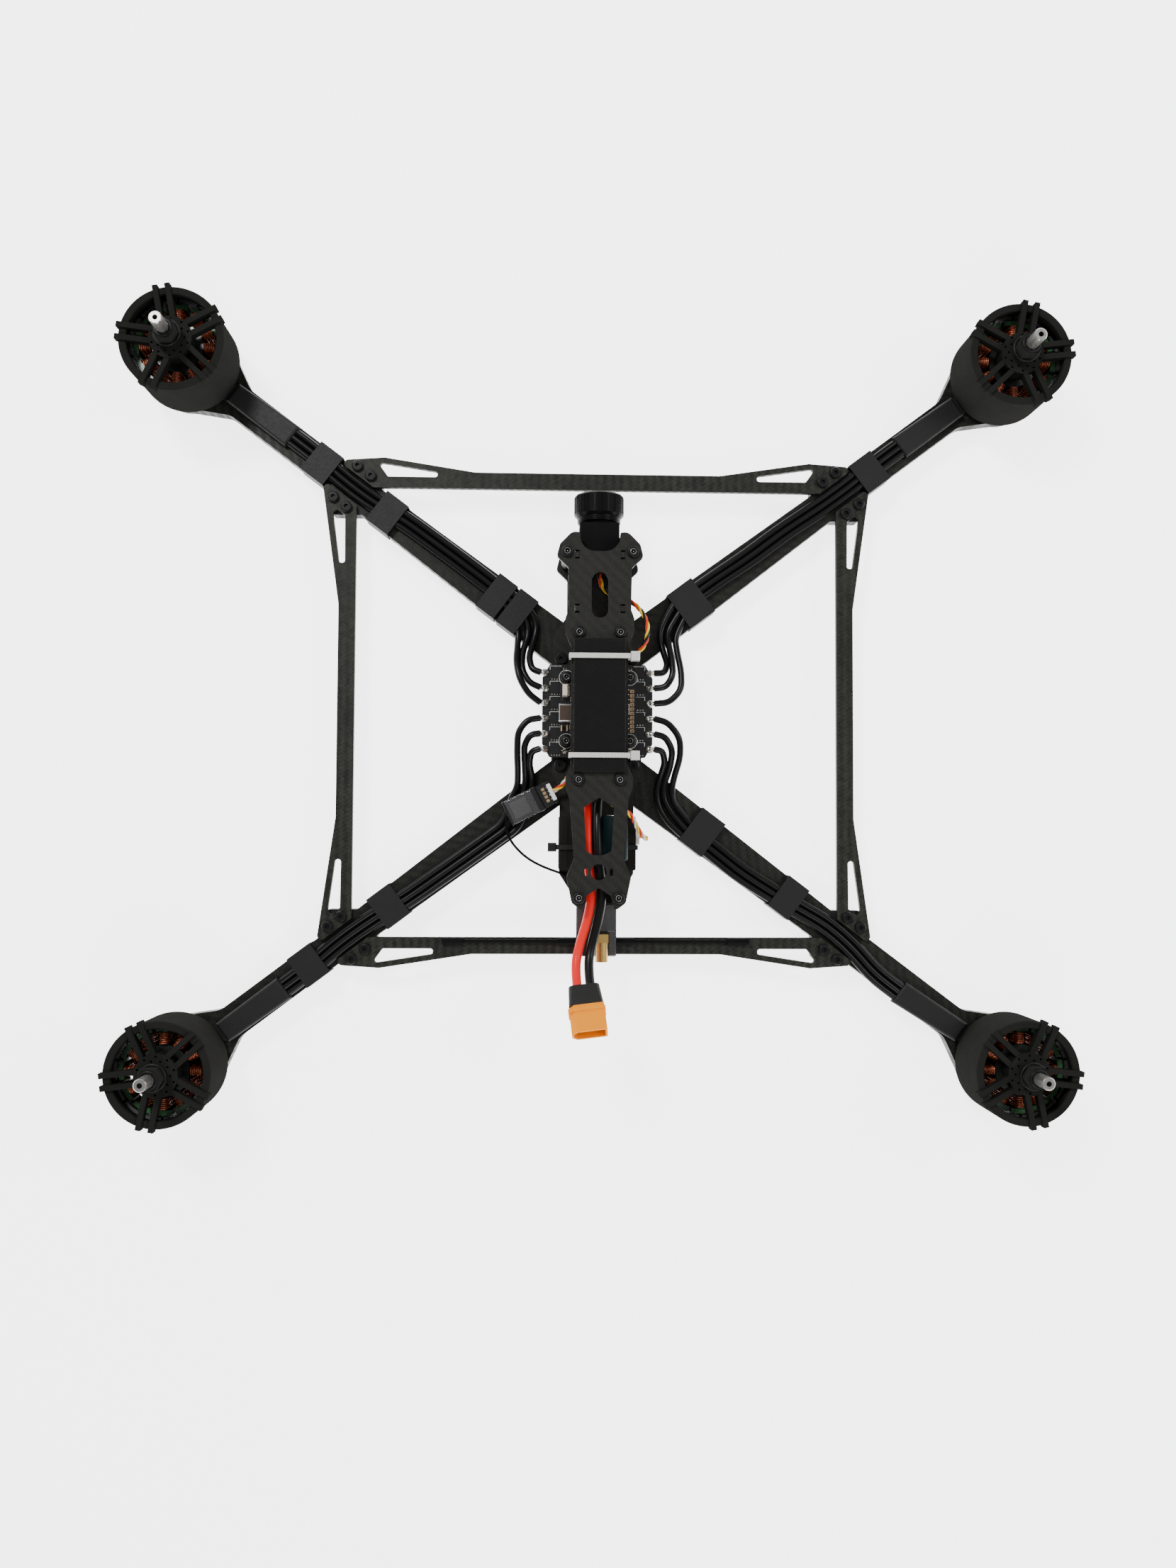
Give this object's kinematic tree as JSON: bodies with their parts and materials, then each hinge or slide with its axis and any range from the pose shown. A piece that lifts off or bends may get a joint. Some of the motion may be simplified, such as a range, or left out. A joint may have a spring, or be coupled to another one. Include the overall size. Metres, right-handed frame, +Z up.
{
  "type": "quadcopter with flight controller stack",
  "caption": "X-frame quadcopter with plate arms and braces, outrunner motors, tilting camera, and a flight controller board stacked over a speed controller board at its centre.",
  "frame": {"origin": "middle of the four motor axes, on the level that the underside nuts stand on", "axes": "+X to the craft's right, +Y to its nose and camera, +Z up along the motor shafts"},
  "size_m": [0.4532, 0.3922, 0.067],
  "materials": {
    "carbon": "satin carbon fibre plate, faint twill",
    "standoff_black": "black anodised",
    "screw_black": "black oxide",
    "motor_black": "matte black anodised aluminium",
    "stator_green": "green insulating coat on laminated steel",
    "copper_enamel": "orange-red enamelled copper wire",
    "bearing_steel": "ground steel",
    "shaft_steel": "ground steel",
    "camera_body": "black moulded plastic",
    "lens_black": "gloss black ribbed",
    "pcb_black": "black solder mask",
    "chip_black": "black moulded chip",
    "solder": "bright solder",
    "rubber_black": "soft rubber",
    "connector_cream": "cream moulded connector",
    "button_black": "moulded plastic",
    "usb_metal": "plated steel",
    "pad_black": "fuzzy grip pad",
    "tie_grey": "pale grey nylon",
    "capacitor_teal": "dark teal sleeve",
    "vtx_black": "black anodised",
    "brass_gold": "gold plated",
    "antenna_black": "black sleeve",
    "silicone_red": "silicone wire",
    "silicone_black": "silicone wire",
    "boot_grey": "dark grey boot",
    "plug_yellow": "orange-yellow nylon",
    "cable_yellow": "thin coloured signal wires",
    "tape_black": "matte black tape"
  },
  "bodies": {
    "frame": {"bottom_plate": "carbon", "mid_plate": "carbon", "top_plate": "carbon", "standoffs": "standoff_black", "top_plate_screws": "screw_black", "frame_bolts": "screw_black", "brace_screws": "screw_black", "motor_screws": "screw_black", "motor_bases": "motor_black", "stator_cores": "stator_green", "motor_windings": "copper_enamel", "motor_bearings": "bearing_steel", "camera_side_plates": "carbon", "esc_board": "pcb_black", "esc_chips": "chip_black", "solder_joints": "solder", "stack_screws": "screw_black", "stack_grommets": "rubber_black", "flight_controller_board": "pcb_black", "flight_controller_parts": "connector_cream", "usb_socket": "usb_metal", "battery_pad": "pad_black", "zip_ties": "tie_grey", "capacitor": "capacitor_teal", "video_transmitter": "vtx_black", "rear_board": "pcb_black", "antenna_connector": "brass_gold", "dipole_antenna": "antenna_black", "receiver_board": "pcb_black", "battery_lead_positive": "silicone_red", "battery_lead_negative": "silicone_black", "xt60_boot": "boot_grey", "xt60_housing": "plug_yellow", "xt60_pins": "brass_gold", "camera_cable": "cable_yellow", "receiver_cable": "cable_yellow", "video_cable": "cable_yellow", "antenna_coax": "antenna_black", "motor_wires": "silicone_black", "wire_tapes": "tape_black", "arm_front_left": "carbon", "arm_front_right": "carbon", "arm_rear_left": "carbon", "arm_rear_right": "carbon", "brace_front": "carbon", "brace_rear": "carbon", "brace_left": "carbon", "brace_right": "carbon"},
    "rotor_front_left": {"bell_front_left": "motor_black", "prop_shaft_front_left": "shaft_steel"},
    "rotor_front_right": {"bell_front_right": "motor_black", "prop_shaft_front_right": "shaft_steel"},
    "rotor_rear_left": {"bell_rear_left": "motor_black", "prop_shaft_rear_left": "shaft_steel"},
    "rotor_rear_right": {"bell_rear_right": "motor_black", "prop_shaft_rear_right": "shaft_steel"},
    "camera": {"camera_housing": "camera_body", "camera_screws": "screw_black"},
    "lens": {"camera_lens": "lens_black"},
    "boot_button": {"boot_button": "button_black"}
  },
  "joints": [
    {"name": "motor_spin_front_left", "type": "hinge", "parent": "frame", "child": "rotor_front_left", "pos_m": [-0.20065, 0.17014, 0.044], "axis": [0, 0, 1], "continuous": true},
    {"name": "motor_spin_front_right", "type": "hinge", "parent": "frame", "child": "rotor_front_right", "pos_m": [0.20065, 0.17014, 0.044], "axis": [0, 0, 1], "continuous": true},
    {"name": "motor_spin_rear_left", "type": "hinge", "parent": "frame", "child": "rotor_rear_left", "pos_m": [-0.20065, -0.17014, 0.044], "axis": [0, 0, 1], "continuous": true},
    {"name": "motor_spin_rear_right", "type": "hinge", "parent": "frame", "child": "rotor_rear_right", "pos_m": [0.20065, -0.17014, 0.044], "axis": [0, 0, 1], "continuous": true},
    {"name": "camera_tilt", "type": "hinge", "parent": "frame", "child": "camera", "pos_m": [0, 0.0775, 0.028], "axis": [1, 0, 0], "range_deg": [-10, 25]},
    {"name": "lens_focus", "type": "hinge", "parent": "camera", "child": "lens", "pos_m": [0, 0.0775, 0.028], "axis": [0, 1, 0], "range_deg": [-90, 90]},
    {"name": "boot_button_press", "type": "slide", "parent": "frame", "child": "boot_button", "axis": [0, 0, -1], "range_m": [0, 0.00025], "stiffness_N_per_m": 2000}
  ]
}
